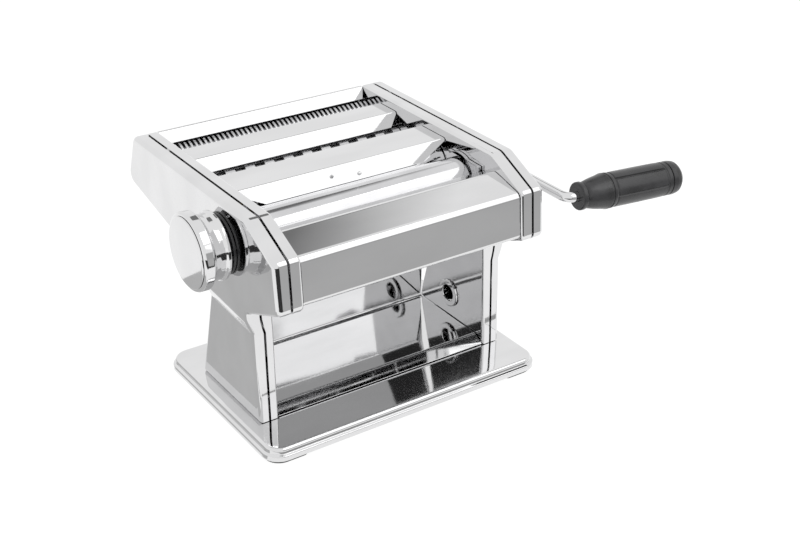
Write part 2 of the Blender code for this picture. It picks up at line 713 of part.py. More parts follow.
def bend(corner, start, end, radius, pieces):
    """Points of an arc that rounds the corner between the straight runs from start and to end."""
    a = (start - corner).normalized()
    b = (end - corner).normalized()
    half = a.angle(b) / 2
    reach = radius / math.tan(half)
    centre = corner + (a + b).normalized() * (radius / math.sin(half))
    first = (corner + a * reach - centre).normalized()
    last = (corner + b * reach - centre).normalized()
    return [centre + first.slerp(last, k / pieces) * radius for k in range(pieces + 1)]


def grip_frame():
    """Where the grip's spindle starts, which way it runs and how long it is."""
    start = Vector((ARM_X, ARM_END_Y, ROLLER_Z))
    tip = Vector(GRIP_TIP)
    return start, (tip - start).normalized(), (tip - start).length


def on_grip(name, profile, spec, segments=24, bore=True, phase=0.5):
    """A body turned about the grip's own axis; x in the profile is measured from the arm's bend."""
    start, along, _ = grip_frame()
    bm = turned_mesh(profile, segments, phase, bore)
    turn = Vector((1, 0, 0)).rotation_difference(along).to_matrix().to_4x4()
    bm.transform(Matrix.Translation(start) @ turn)
    obj = finish(name, bm, spec)
    return pivot(obj, start.y, start.z, start.x)


def crank():
    """The bent crank rod with its drive end in the rear smooth roller, and the grip that spins on it."""
    start, along, length = grip_frame()
    inner_end = Vector((83.2, REAR_ROLLER_Y, ROLLER_Z))
    elbow = Vector((ARM_X, REAR_ROLLER_Y, ROLLER_Z))
    tip = start + along * (length - 4.0)
    path = [inner_end] + bend(elbow, inner_end, start, 7.0, 4) + bend(start, elbow, tip, 6.0, 4) + [tip]
    bm = sweep(path, ARM_R - 0.25, 12)
    obj = finish("crank_rod", bm, CHROME)
    pivot(obj, REAR_ROLLER_Y, ROLLER_Z)
    r = ARM_R - 0.12
    collar = [(7.2, r), (7.2, 8.0), (8.0, 8.8), (9.8, 8.8), (10.4, 8.2), (10.4, r)]
    on_grip("grip_collar", collar, PLASTIC, 20)
    body = [
        (10.8, r), (10.8, 6.6), (13.5, 8.6), (24.0, 10.9), (26.0, 11.6), (28.5, 11.8), (30.0, 11.5),
        (31.0, 11.2), (70.0, 11.2), (74.0, 11.0), (74.0, r),
    ]
    grip = on_grip("crank_grip", body, PLASTIC, 22)
    cap = [(80.4, 0.0), (80.4, 4.2), (74.4, 4.2), (74.4, 11.0), (79.6, 10.7), (82.6, 9.3), (83.9, 6.6), (84.2, 0.0)]
    on_grip("grip_end_cap", cap, PLASTIC, 22, False)
    return grip


base_tray()
feet()
side_frames()
side_covers()
tie_rods()
panels()
smooth_rollers()
wide_cutters()
narrow_cutters()
gears()
bearings()
guides()
scrapers()
knob()
clamp_socket()
port_rings()
crank()
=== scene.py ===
"""Looks of a hand-cranked dough roller with two cutters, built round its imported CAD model.

Pieces are modelled in millimetres in the machine's own frame: X runs across the rollers towards the
crank, Y runs from the nose to the back, and Z is up from the top of the base. place() turns that into
the frame's metres, and every size that the CAD fixes is read from its nodes' boxes.
"""

import json
import math

import bmesh
import bpy
from mathutils import Matrix, Vector


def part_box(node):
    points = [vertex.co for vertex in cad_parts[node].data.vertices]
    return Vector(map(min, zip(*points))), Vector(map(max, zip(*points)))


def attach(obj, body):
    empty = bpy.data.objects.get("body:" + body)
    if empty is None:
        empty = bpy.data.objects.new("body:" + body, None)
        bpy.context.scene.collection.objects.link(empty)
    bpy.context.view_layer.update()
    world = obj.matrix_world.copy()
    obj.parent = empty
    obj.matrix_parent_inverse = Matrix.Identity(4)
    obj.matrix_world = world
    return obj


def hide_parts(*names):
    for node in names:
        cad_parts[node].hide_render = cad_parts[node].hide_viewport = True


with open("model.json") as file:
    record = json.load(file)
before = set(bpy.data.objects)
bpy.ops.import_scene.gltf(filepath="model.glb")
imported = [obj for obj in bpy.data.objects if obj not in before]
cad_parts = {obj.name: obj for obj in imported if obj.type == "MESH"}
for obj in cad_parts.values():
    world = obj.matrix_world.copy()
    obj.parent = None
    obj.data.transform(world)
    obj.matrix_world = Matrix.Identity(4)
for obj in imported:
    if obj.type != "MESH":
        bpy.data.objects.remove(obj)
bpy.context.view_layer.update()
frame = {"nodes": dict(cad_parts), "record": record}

BODY_OF = {
    node: body
    for body, members in frame["record"]["behaviour"]["bodies"].items()
    for node in members
}
BASE_LOW, BASE_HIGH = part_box("base_plate")
ORIGIN = Vector(((BASE_LOW.x + BASE_HIGH.x) / 2, (BASE_LOW.y + BASE_HIGH.y) / 2, BASE_HIGH.z))


def place(point):
    """A point of the machine's frame, in millimetres, as a point of the CAD's frame in metres."""
    return ORIGIN + Vector(point) * 0.001


def span(node, axis):
    """The lowest and highest value of a CAD node along an axis, in the machine's millimetres."""
    low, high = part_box(node)
    start = ORIGIN[axis]
    return (low[axis] - start) * 1000, (high[axis] - start) * 1000


def middle(node, axis):
    return sum(span(node, axis)) / 2


def half(node, axis):
    low, high = span(node, axis)
    return (high - low) / 2


X, Y, Z = range(3)
WALL = span("side_frame_right", X)[0]
SEAM_FRAME = span("side_frame_right", X)[1]
COVER_FACE = span("side_cover_right", X)[1]
HEAD_TOP = span("side_cover_right", Z)[1]
SEAM_GAP = 1.5
SEAM_COVER = SEAM_FRAME + SEAM_GAP
SHEET = 0.9
FRAME_SHEET = 1.8
LEG_INSET = 3.7
LEG_SEAM_INSET = 2.0
CREASE_Z = 61.3
CREASE_SLOPE = 0.06
FLARE = 11.0
PANEL_HALF = half("nose_cover", X)
KNOB_Y = middle("thickness_knob", Y)
ROLLER_Z = middle("thickness_knob", Z)
ROLLER_Y = {"front": middle("front_roller", Y), "rear": middle("rear_roller", Y)}
ROLLER_R = half("front_roller", Y)
JOURNAL_R = 5.0
NARROW_PITCH = 3.34
WIDE_PITCH = 13.65
WIDE_START = -2.1
ROLLER_END = 74.9
DRIVE_BORE_R = 3.4
SPIGOT_R = 3.1
SPIGOT_START = 82.3
KNOB_SHAFT_HOLE_R = 6.0
CRANK_PORT_HOLE_R = 6.6
ECCENTRIC_BUSH_R = 9.35
PLAIN_BUSH_R = 7.35
CUTTER_BUSH_R = 6.0
TIE_ROD_R = 2.3
CLAMP_SOCKET_R = 7.5
CAP_R = 10.75
FINE = 96
ARM_R = 3.25
SQUARE = ((-1, -1), (1, -1), (1, 1), (-1, 1))


# ---------------------------------------------------------------- materials


def new_material(name):
    made = bpy.data.materials.new(name)
    made.use_nodes = True
    return made, made.node_tree, made.node_tree.nodes["Principled BSDF"]


def add(tree, kind, **settings):
    node = tree.nodes.new(kind)
    for key, value in settings.items():
        if key in node.inputs:
            node.inputs[key].default_value = value
        else:
            setattr(node, key, value)
    return node


def position(tree, stretch):
    """Object coordinates in metres, scaled differently along each axis."""
    coords = add(tree, "ShaderNodeTexCoord")
    scaled = add(tree, "ShaderNodeMapping")
    scaled.inputs["Scale"].default_value = stretch
    tree.links.new(coords.outputs["Object"], scaled.inputs["Vector"])
    return scaled.outputs["Vector"]


def noise(tree, stretch, scale, detail=3.0):
    made = add(tree, "ShaderNodeTexNoise", Scale=scale, Detail=detail)
    tree.links.new(position(tree, stretch), made.inputs["Vector"])
    return made.outputs["Fac"]


def colour_between(tree, value, low, high, start=0.35, end=0.65):
    ramp = add(tree, "ShaderNodeValToRGB")
    ramp.color_ramp.elements[0].position = start
    ramp.color_ramp.elements[1].position = end
    ramp.color_ramp.elements[0].color = (*low, 1.0)
    ramp.color_ramp.elements[1].color = (*high, 1.0)
    tree.links.new(value, ramp.inputs["Fac"])
    return ramp.outputs["Color"]


def level_between(tree, value, low, high):
    level = add(tree, "ShaderNodeMapRange")
    level.inputs["From Min"].default_value = 0.3
    level.inputs["From Max"].default_value = 0.7
    level.inputs["To Min"].default_value = low
    level.inputs["To Max"].default_value = high
    tree.links.new(value, level.inputs["Value"])
    return level.outputs["Result"]


def bump(tree, value, strength, distance, before=None):
    made = add(tree, "ShaderNodeBump", Strength=strength, Distance=distance)
    tree.links.new(value, made.inputs["Height"])
    if before:
        tree.links.new(before, made.inputs["Normal"])
    return made.outputs["Normal"]


def polished_chrome():
    """Plated sheet: slow waves from pressing, faint wiping smears and a very fine grain."""
    made, tree, shader = new_material("chrome_plate")
    smears = noise(tree, (14.0, 46.0, 30.0), 1.0, 5.0)
    waves = noise(tree, (1.0, 1.0, 1.0), 11.0, 1.0)
    grain = noise(tree, (1.0, 1.0, 1.0), 1400.0, 2.0)
    tone = colour_between(tree, smears, (0.70, 0.70, 0.705), (0.745, 0.745, 0.75))
    tree.links.new(tone, shader.inputs["Base Color"])
    tree.links.new(level_between(tree, smears, 0.03, 0.075), shader.inputs["Roughness"])
    shader.inputs["Metallic"].default_value = 1.0
    slow = bump(tree, waves, 0.35, 0.0016)
    tree.links.new(bump(tree, grain, 0.012, 0.0002, slow), shader.inputs["Normal"])
    return made


def turned_metal(name, low, high, rough, strength):
    """Bright metal with the fine rings that turning leaves round the X axis."""
    made, tree, shader = new_material(name)
    rings = noise(tree, (2600.0, 30.0, 30.0), 1.0, 2.0)
    patches = noise(tree, (1.0, 1.0, 1.0), 40.0, 3.0)
    tree.links.new(colour_between(tree, patches, low, high), shader.inputs["Base Color"])
    tree.links.new(level_between(tree, rings, rough * 0.6, rough * 1.4), shader.inputs["Roughness"])
    shader.inputs["Metallic"].default_value = 1.0
    tree.links.new(bump(tree, rings, strength, 0.0001), shader.inputs["Normal"])
    return made


def brushed_steel():
    made, tree, shader = new_material("bright_steel")
    streaks = noise(tree, (40.0, 700.0, 700.0), 1.0, 4.0)
    tone = colour_between(tree, streaks, (0.50, 0.50, 0.51), (0.66, 0.66, 0.67))
    tree.links.new(tone, shader.inputs["Base Color"])
    tree.links.new(level_between(tree, streaks, 0.16, 0.3), shader.inputs["Roughness"])
    shader.inputs["Metallic"].default_value = 1.0
    tree.links.new(bump(tree, streaks, 0.08, 0.0001), shader.inputs["Normal"])
    return made


def moulded_plastic(name, low, high, rough, grain_size, strength):
    """Plastic or rubber with a fine moulded grain and a slightly uneven gloss."""
    made, tree, shader = new_material(name)
    patches = noise(tree, (1.0, 1.0, 1.0), 90.0, 4.0)
    grain = noise(tree, (1.0, 1.0, 1.0), grain_size, 2.0)
    tree.links.new(colour_between(tree, patches, low, high), shader.inputs["Base Color"])
    tree.links.new(level_between(tree, patches, rough * 0.8, rough * 1.2), shader.inputs["Roughness"])
    tree.links.new(bump(tree, grain, strength, 0.0002), shader.inputs["Normal"])
    return made


FINISHES = {
    "chrome": polished_chrome(),
    "roller_metal": turned_metal("turned_roller", (0.60, 0.60, 0.61), (0.68, 0.68, 0.69), 0.09, 0.05),
    "steel": brushed_steel(),
    "brass": turned_metal("bearing_brass", (0.60, 0.44, 0.20), (0.74, 0.57, 0.29), 0.26, 0.1),
    "nylon": moulded_plastic("gear_nylon", (0.78, 0.78, 0.74), (0.85, 0.85, 0.82), 0.42, 900.0, 0.06),
    "black_plastic": moulded_plastic(
        "grip_plastic", (0.016, 0.016, 0.017), (0.028, 0.028, 0.03), 0.3, 1600.0, 0.12
    ),
    "rubber": moulded_plastic(
        "foot_rubber", (0.012, 0.012, 0.012), (0.024, 0.024, 0.023), 0.7, 1200.0, 0.3
    ),
}


# ---------------------------------------------------------------- outlines


def arc(here, before, after, r, step):
    """Points of a fillet of radius r at a corner whose arms point along before and after."""
    half_angle = before.angle(after) / 2
    reach = r / math.tan(half_angle)
    centre = here + (before + after).normalized() * (r / math.sin(half_angle))
    first = (here + before * reach - centre).normalized()
    last = (here + after * reach - centre).normalized()
    pieces = max(2, round(math.degrees(math.pi - 2 * half_angle) / step))
    return [centre + first.slerp(last, k / pieces) * r for k in range(pieces + 1)]


def rounded(corners, step=6.0, closed=True):
    """An outline with each (a, b, r) corner replaced by an arc of radius r."""
    out = []
    count = len(corners)
    for i, (a, b, r) in enumerate(corners):
        here = Vector((a, b))
        at_end = not closed and i in (0, count - 1)
        if r <= 0 or at_end:
            out.append(here)
            continue
        before = (Vector(corners[i - 1][:2]) - here).normalized()
        after = (Vector(corners[(i + 1) % count][:2]) - here).normalized()
        out.extend(arc(here, before, after, r, step))
    return out


def mitred(d1, d2, turn=1.0):
    """The offset at a corner between two directions, scaled so that both sides keep their distance."""
    n1 = Vector((-d1.y, d1.x)) * turn
    n2 = Vector((-d2.y, d2.x)) * turn
    between = (n1 + n2).normalized()
    return between / max(0.5, between.dot(n1))


def inset(outline, distance):
    """The closed outline moved inwards by a distance."""
    area = sum(a.x * b.y - b.x * a.y for a, b in zip(outline, outline[1:] + outline[:1]))
    turn = 1.0 if area > 0 else -1.0
    out = []
    for i, here in enumerate(outline):
        d1 = (here - outline[i - 1]).normalized()
        d2 = (outline[(i + 1) % len(outline)] - here).normalized()
        out.append(here + mitred(d1, d2, turn) * distance)
    return out


def offset_path(path, distance):
    """The open path moved to its left by a distance."""
    out = []
    for i, here in enumerate(path):
        d1 = (here - path[i - 1]).normalized() if i else (path[1] - here).normalized()
        d2 = (path[i + 1] - here).normalized() if i + 1 < len(path) else d1
        out.append(here + mitred(d1, d2) * distance)
    return out


# ---------------------------------------------------------------- meshes


def ring_of(bm, outline, x):
    return [bm.verts.new((x, p[0], p[1])) for p in outline]


def skin(bm, first, second):
    for i in range(len(first)):
        j = (i + 1) % len(first)
        bm.faces.new((first[i], first[j], second[j], second[i]))


def join_loops(bm, a, b):
    if len(a) == 1 or len(b) == 1:
        tip = a[0] if len(a) == 1 else b[0]
        rim = b if len(a) == 1 else a
        for i in range(len(rim)):
            bm.faces.new((tip, rim[i], rim[(i + 1) % len(rim)]))
        return
    skin(bm, a, b)


def turned_mesh(profile, segments=FINE, bore=False):
    """A body turned about X from (x, radius) points; with bore the profile is a closed ring section."""
    bm = bmesh.new()
    loops = []
    for x, r in profile:
        if r <= 0:
            loops.append([bm.verts.new((x, 0, 0))])
            continue
        angles = [2 * math.pi * k / segments for k in range(segments)]
        loops.append([bm.verts.new((x, r * math.cos(t), r * math.sin(t))) for t in angles])
    pairs = list(zip(loops, loops[1:]))
    if bore:
        pairs.append((loops[-1], loops[0]))
    for a, b in pairs:
        join_loops(bm, a, b)
    if not bore:
        for end in (loops[0], loops[-1]):
            if len(end) > 1:
                bm.faces.new(end)
    return bm


def sweep(path, radius, segments):
    """A round bar along a path of points."""
    bm = bmesh.new()
    rings = []
    for i, here in enumerate(path):
        before = path[max(0, i - 1)]
        after = path[min(len(path) - 1, i + 1)]
        along = (after - before).normalized()
        side = along.cross(Vector((0, 0, 1))).normalized()
        top = side.cross(along).normalized()
        angles = [2 * math.pi * k / segments for k in range(segments)]
        around = [side * math.cos(t) + top * math.sin(t) for t in angles]
        rings.append([bm.verts.new(here + out * radius) for out in around])
    for a, b in zip(rings, rings[1:]):
        skin(bm, a, b)
    bm.faces.new(rings[0])
    bm.faces.new(rings[-1])
    return bm


def bend(corner, start, end, radius, pieces=14):
    """Points of an arc that rounds the corner between the straight runs from start and to end."""
    a = (start - corner).normalized()
    b = (end - corner).normalized()
    half_angle = a.angle(b) / 2
    reach = radius / math.tan(half_angle)
    centre = corner + (a + b).normalized() * (radius / math.sin(half_angle))
    first = (corner + a * reach - centre).normalized()
    last = (corner + b * reach - centre).normalized()
    return [centre + first.slerp(last, k / pieces) * radius for k in range(pieces + 1)]


def raw_object(name, bm):
    """The millimetre mesh as an object of the CAD's frame."""
    bmesh.ops.remove_doubles(bm, verts=bm.verts[:], dist=1e-4)
    bmesh.ops.recalc_face_normals(bm, faces=bm.faces[:])
    bm.transform(Matrix.Translation(ORIGIN) @ Matrix.Diagonal((0.001, 0.001, 0.001, 1.0)))
    mesh = bpy.data.meshes.new(name)
    bm.to_mesh(mesh)
    bm.free()
    obj = bpy.data.objects.new(name, mesh)
    bpy.context.scene.collection.objects.link(obj)
    return obj


def bake_modifiers(obj):
    """Replaces the object's mesh by what its modifiers make of it."""
    graph = bpy.context.evaluated_depsgraph_get()
    mesh = bpy.data.meshes.new_from_object(obj.evaluated_get(graph))
    obj.modifiers.clear()
    obj.data = mesh


def pierce(obj, cutters):
    for cutter in cutters:
        change = obj.modifiers.new("hole", "BOOLEAN")
        change.operation = "DIFFERENCE"
        change.solver = "EXACT"
        change.object = cutter
    bake_modifiers(obj)
    for cutter in cutters:
        bpy.data.objects.remove(cutter)


def finish(name, bm, slot, *nodes, body=None, edge=0.0, crease=32.0, cutters=()):
    """Makes a placed, shaded piece that stands for its CAD nodes and moves with their body."""
    obj = raw_object(name, bm)
    if cutters:
        pierce(obj, cutters)
    if edge:
        soften = obj.modifiers.new("edge", "BEVEL")
        soften.width = edge * 0.001
        soften.segments = 2
        soften.limit_method = "ANGLE"
        soften.angle_limit = math.radians(40.0)
        soften.use_clamp_overlap = True
        bake_modifiers(obj)
    shade(obj.data, crease)
    weights = obj.modifiers.new("weights", "WEIGHTED_NORMAL")
    weights.keep_sharp = True
    obj.data.materials.clear()
    obj.data.materials.append(FINISHES[slot])
    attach(obj, body or BODY_OF[nodes[0]])
    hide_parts(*nodes)
    return obj


def shade(mesh, crease):
    """Smooth faces, with sharp edges where two faces meet at more than the crease angle."""
    bm = bmesh.new()
    bm.from_mesh(mesh)
    for face in bm.faces:
        face.smooth = True
    for edge in bm.edges:
        if len(edge.link_faces) == 2:
            edge.smooth = edge.calc_face_angle() < math.radians(crease)
    bm.to_mesh(mesh)
    bm.free()


def turned(name, profile, y, z, slot, *nodes, bore=False, segments=FINE, **more):
    bm = turned_mesh(profile, segments, bore)
    bmesh.ops.translate(bm, verts=bm.verts[:], vec=(0, y, z))
    return finish(name, bm, slot, *nodes, **more)


def hole(x_low, x_high, y, z, r):
    bm = turned_mesh([(x_low, r), (x_high, r)], 64)
    bmesh.ops.translate(bm, verts=bm.verts[:], vec=(0, y, z))
    return raw_object("cutter", bm)


# ---------------------------------------------------------------- side frames and covers


def side_outline():
    """Head and leg seen from the side, as (y, z) above the base."""
    rear = span("side_cover_right", Y)[1]
    return rounded(
        [
            (107.0, HEAD_TOP, 6.0),
            (-39.0, HEAD_TOP, 9.0),
            (-70.4, 120.0, 4.0),
            (-72.6, 89.2, 5.0),
            (-35.2, 74.0, 0.6),
            (-36.8, 0.4, 0.0),
            (36.2, 0.4, 0.0),
            (14.5, 78.5, 10.0),
            (rear + 1.0, 102.0, 8.0),
        ]
    )


def leg_amount(y, z):
    """1 on the leg and 0 on the head, with a flare that starts sharply and runs out softly."""
    above = (z - CREASE_Z - CREASE_SLOPE * y) / FLARE
    share = min(1.0, max(0.0, above))
    return (1.0 - share) ** 1.4


def pan(side, open_x, face_x, radius, thickness, open_in, face_in):
    """A pressed side pan: a face in the YZ plane with a rounded edge and a flange towards open_x."""
    outline = side_outline()
    bm = bmesh.new()
    way = 1.0 if face_x > open_x else -1.0
    outer = [ring_of(bm, outline, open_x)]
    inner = [ring_of(bm, inset(outline, thickness), open_x)]
    small = radius - thickness
    for degrees in range(0, 91, 10):
        t = math.radians(degrees)
        step_in = radius * (1 - math.cos(t))
        x = face_x - way * radius * (1 - math.sin(t))
        outer.append(ring_of(bm, inset(outline, step_in), x))
        if degrees % 30 == 0:
            step_in = thickness + small * (1 - math.cos(t))
            x = face_x - way * (thickness + small * (1 - math.sin(t)))
            inner.append(ring_of(bm, inset(outline, step_in), x))
    for loops in (outer, inner):
        for a, b in zip(loops, loops[1:]):
            skin(bm, a, b)
        bm.faces.new(loops[-1])
    skin(bm, outer[0], inner[0])
    for k in range(9):
        where = (0, 0, CREASE_Z + FLARE * k / 8)
        geom = bm.verts[:] + bm.edges[:] + bm.faces[:]
        slope = (0, -CREASE_SLOPE, 1)
        bmesh.ops.bisect_plane(bm, geom=geom, plane_co=where, plane_no=slope, dist=1e-5)
    for vert in bm.verts:
        t = (vert.co.x - open_x) / (face_x - open_x)
        amount = leg_amount(vert.co.y, vert.co.z)
        vert.co.x -= amount * (open_in + (face_in - open_in) * t)
        vert.co.x *= side
    return bm


def side_frame(side, word):
    node = "side_frame_" + word
    bm = pan(side, SEAM_FRAME, WALL, 2.0, FRAME_SHEET, LEG_SEAM_INSET, 0.0)
    low, high = sorted((side * 70, side * 88))
    journals = [(KNOB_Y, ROLLER_Z, ECCENTRIC_BUSH_R), (ROLLER_Y["rear"], ROLLER_Z, PLAIN_BUSH_R)]
    for pair in ("wide", "narrow"):
        for which in ("rear", "front"):
            cutter = pair + "_cutter_" + which
            journals.append((middle(cutter, Y), middle(cutter, Z), CUTTER_BUSH_R))
    for rod in ("front", "middle", "rear"):
        journals.append((middle("tie_rod_" + rod, Y), middle("tie_rod_" + rod, Z), TIE_ROD_R))
    if side > 0:
        journals.append((middle("clamp_socket", Y), middle("clamp_socket", Z), CLAMP_SOCKET_R))
    cutters = [hole(low, high, y, z, r) for y, z, r in journals]
    finish(node + "_shell", bm, "chrome", node, cutters=cutters)


def side_cover(side, word):
    node = "side_cover_" + word
    bm = pan(side, SEAM_COVER, COVER_FACE, 3.5, SHEET, LEG_SEAM_INSET, LEG_INSET)
    if side < 0:
        cutters = [hole(-96, -86, KNOB_Y, ROLLER_Z, KNOB_SHAFT_HOLE_R)]
    else:
        ports = ("smooth_crank_port", "wide_crank_port", "narrow_crank_port")
        cutters = [hole(86, 96, middle(port, Y), middle(port, Z), CRANK_PORT_HOLE_R) for port in ports]
    finish(node + "_shell", bm, "chrome", node, cutters=cutters)


# ---------------------------------------------------------------- panels


def sheet_mesh(path, thickness, width_at):
    """A bent sheet that lies to the left of its (y, z) path; width_at gives its half width at a point."""
    bm = bmesh.new()
    other = offset_path(path, thickness)
    outline = path + other[::-1]
    widths = [width_at(p) for p in path]
    widths += widths[::-1]
    ends = []
    for side in (-1, 1):
        ends.append([bm.verts.new((side * w, p.x, p.y)) for w, p in zip(widths, outline)])
    skin(bm, ends[0], ends[1])
    for loop in ends:
        count = len(path)
        for i in range(count - 1):
            bm.faces.new((loop[i], loop[i + 1], loop[2 * count - 2 - i], loop[2 * count - 1 - i]))
    return bm


def full_width(point):
    return PANEL_HALF


def narrowing(y_low, y_high, z_top, z_low, x_low):
    """A half width that slants inwards from z_top to z_low on the chute between two Y values."""

    def width_at(point):
        if not y_low < point.x < y_high or point.y > z_top:
            return PANEL_HALF
        return x_low + (PANEL_HALF - x_low) * (point.y - z_low) / (z_top - z_low)

    return width_at


def with_point(path, index, z):
    """The path with one more point where the run after index crosses a height."""
    a, b = path[index], path[index + 1]
    return path[: index + 1] + [a.lerp(b, (z - a.y) / (b.y - a.y))] + path[index + 1 :]


def panels():
    """The nose, the rear cover, the two top strips and the centre panel between the legs."""
    front = span("nose_cover", Y)[0] + 70.9
    nose = [
        (-31.2, 114.2, 0),
        (-31.2, 120.6, 1.6),
        (-44.0, 125.0, 5.0),
        (-68.6, 118.9, 5.0),
        (-70.9 + front, 90.6, 3.0),
        (-62.0, 88.6, 0),
    ]
    bm = sheet_mesh(rounded(nose, closed=False), SHEET, full_width)
    finish("nose_shell", bm, "chrome", "nose_cover", edge=0.2)

    rear = [
        (98.0, 98.4, 0),
        (119.8, 103.0, 5.0),
        (107.2, 133.9, 1.6),
        (104.6, 133.9, 1.2),
        (100.9, 126.3, 0),
    ]
    path = rounded(rear, closed=False)
    path = with_point(path, len(path) - 2, 132.0)
    bm = sheet_mesh(path, SHEET, narrowing(100.0, 105.6, 132.0, 125.0, 72.6))
    finish("rear_shell", bm, "chrome", "rear_cover", edge=0.2)

    rear_strip = [(83.2, 126.2, 0), (83.2, 128.9, 1.2), (63.7, 128.9, 1.2), (59.7, 120.0, 0)]
    front_strip = [(34.6, 126.4, 0), (34.6, 128.9, 1.2), (8.6, 128.9, 1.2), (3.9, 118.2, 0)]
    strips = (("top_strip_rear", rear_strip, 69.0), ("top_strip_front", front_strip, 55.2))
    for node, corners, low_width in strips:
        path = rounded(corners, closed=False)
        path = with_point(path, len(path) - 2, 127.2)
        chute = corners[-1]
        width_at = narrowing(chute[0] - 3, corners[-2][0] + 1, 127.3, chute[1], low_width)
        finish(node + "_shell", sheet_mesh(path, SHEET, width_at), "chrome", node, edge=0.2)

    centre = [
        (13.5, 86.0, 0),
        (31.6, 40.0, 6.0),
        (33.9, 4.6, 3.0),
        (-28.6, 4.6, 3.0),
        (-36.0, 0.5, 0),
    ]
    bm = sheet_mesh(rounded(centre, closed=False), -SHEET, lambda point: half("centre_panel", X))
    finish("centre_panel_shell", bm, "chrome", "centre_panel", edge=0.15)


def base_tray():
    """The pressed base, hollow underneath, with a small step round its rim."""
    step_out = 1.6
    half_x = half("base_plate", X) - step_out
    half_y = half("base_plate", Y) - step_out
    corner = 10.0
    low = span("base_plate", Z)[0]
    outer = rounded(
        [(-6.0, 0.0, 0), (0.0, 0.0, 2.2), (0.0, -3.6, 0.6), (step_out, -4.4, 0.7), (step_out, low, 0)],
        step=12.0,
        closed=False,
    )
    inner = rounded(
        [(0.4, low, 0), (0.4, -4.9, 0.4), (-1.2, -3.9, 0.4), (-1.2, -1.2, 1.0), (-6.0, -1.2, 0)],
        step=30.0,
        closed=False,
    )
    bm = bmesh.new()
    loops = []
    for grow, z in outer + inner:
        corners = [(sx * (half_x + grow), sy * (half_y + grow), corner + grow) for sx, sy in SQUARE]
        loops.append([bm.verts.new((p.x, p.y, z)) for p in rounded(corners, 6.0)])
    for a, b in zip(loops, loops[1:]):
        skin(bm, a, b)
    bm.faces.new(loops[0])
    bm.faces.new(loops[-1])
    finish("base_tray", bm, "chrome", "base_plate")


def foot(node):
    """An L-shaped rubber corner foot with a rounded lower edge and a shallow recess underneath."""
    (x_low, x_high), (y_low, y_high), (z_low, z_high) = (span(node, axis) for axis in (X, Y, Z))
    sx = 1 if x_high > 0 else -1
    sy = 1 if y_high > 0 else -1
    x0 = x_high if sx > 0 else x_low
    y0 = y_high if sy > 0 else y_low
    arm = x_high - x_low
    flat = [
        (x0, y0, 9.9),
        (x0 - sx * arm, y0, 3.0),
        (x0 - sx * arm, y0 - sy * 12.0, 3.0),
        (x0 - sx * 12.0, y0 - sy * 12.0, 2.0),
        (x0 - sx * 12.0, y0 - sy * arm, 3.0),
        (x0, y0 - sy * arm, 3.0),
    ]
    points = rounded(flat, 9.0)
    bm = bmesh.new()
    rounding = 0.8
    levels = [(3.2, z_low + 0.5), (2.6, z_low + 0.4), (2.4, z_low)]
    for degrees in (0, 30, 60, 90):
        t = math.radians(degrees)
        levels.append((rounding * (1 - math.sin(t)), z_low + rounding * (1 - math.cos(t))))
    levels.append((0.0, z_high))
    rings = [[bm.verts.new((p.x, p.y, z)) for p in inset(points, step_in)] for step_in, z in levels]
    for a, b in zip(rings, rings[1:]):
        skin(bm, a, b)
    bm.faces.new(rings[0])
    bm.faces.new(rings[-1])
    finish(node + "_pad", bm, "rubber", node)


# ---------------------------------------------------------------- rollers and cutters


def smooth_roller(word):
    """A plain roller with softly broken ends; the rear one carries the bored drive end."""
    node = word + "_roller"
    low, high = span(node, X)
    corners = [
        (-ROLLER_END, JOURNAL_R, 0),
        (-ROLLER_END, ROLLER_R, 0.7),
        (ROLLER_END, ROLLER_R, 0.7),
        (ROLLER_END, JOURNAL_R, 0),
    ]
    ends = rounded(corners, 15.0, False)
    profile = [(low, 0.0), (low, 4.6), (low + 0.4, JOURNAL_R)] + [tuple(p) for p in ends]
    if word == "rear":
        profile += [(high - 0.4, JOURNAL_R), (high, 4.6), (high, DRIVE_BORE_R)]
        profile += [(82.6, DRIVE_BORE_R), (82.6, 0.0)]
    else:
        profile += [(high, JOURNAL_R), (high, 0.0)]
    turned(node + "_surface", profile, ROLLER_Y[word], ROLLER_Z, "roller_metal", node, crease=40.0)


def grooved(node, lands, root, segments):
    """A cutting roller: square lands between grooves, on two journals."""
    low, high = span(node, X)
    y = middle(node, Y)
    z = middle(node, Z)
    radius = half(node, Z)
    edge = 0.15
    profile = [(low, 0.0), (low, JOURNAL_R), (-ROLLER_END, JOURNAL_R)]
    if lands[0][0] > -ROLLER_END:
        profile.append((-ROLLER_END, root))
    for start, end in lands:
        if start > -ROLLER_END:
            profile += [(start, root), (start, radius - edge)]
        profile += [(start + edge, radius), (end - edge, radius)]
        if end < ROLLER_END:
            profile += [(end, radius - edge), (end, root)]
    if lands[-1][1] < ROLLER_END:
        profile.append((ROLLER_END, root))
    profile.append((ROLLER_END, JOURNAL_R))
    if node.endswith("rear"):
        profile += [(SPIGOT_START, JOURNAL_R), (SPIGOT_START, SPIGOT_R), (high, SPIGOT_R), (high, 0.0)]
        drive = node.split("_")[0] + "_drive_socket"
        start, end = span(drive, X)
        socket = [
            (start, DRIVE_BORE_R, 0),
            (start, JOURNAL_R, 0.3),
            (end, JOURNAL_R, 0.6),
            (end, DRIVE_BORE_R, 0.5),
        ]
        turned(drive + "_sleeve", rounded(socket, 15.0), y, z, "steel", drive, bore=True)
    else:
        profile += [(high, JOURNAL_R), (high, 0.0)]
    turned(node + "_teeth", profile, y, z, "steel", node, segments=segments, crease=30.0)


def wide_lands(first):
    """Lands that fill the roller between the facing roller's discs, from the first disc's centre."""
    groove_half = 3.45
    centre = first
    while centre - WIDE_PITCH > -74.0:
        centre -= WIDE_PITCH
    lands = []
    start = -ROLLER_END
    while centre < 78.0:
        end = min(centre - groove_half, ROLLER_END)
        if end > start:
            lands.append((start, end))
        start = centre + groove_half
        centre += WIDE_PITCH
    if start < ROLLER_END:
        lands.append((start, ROLLER_END))
    return lands


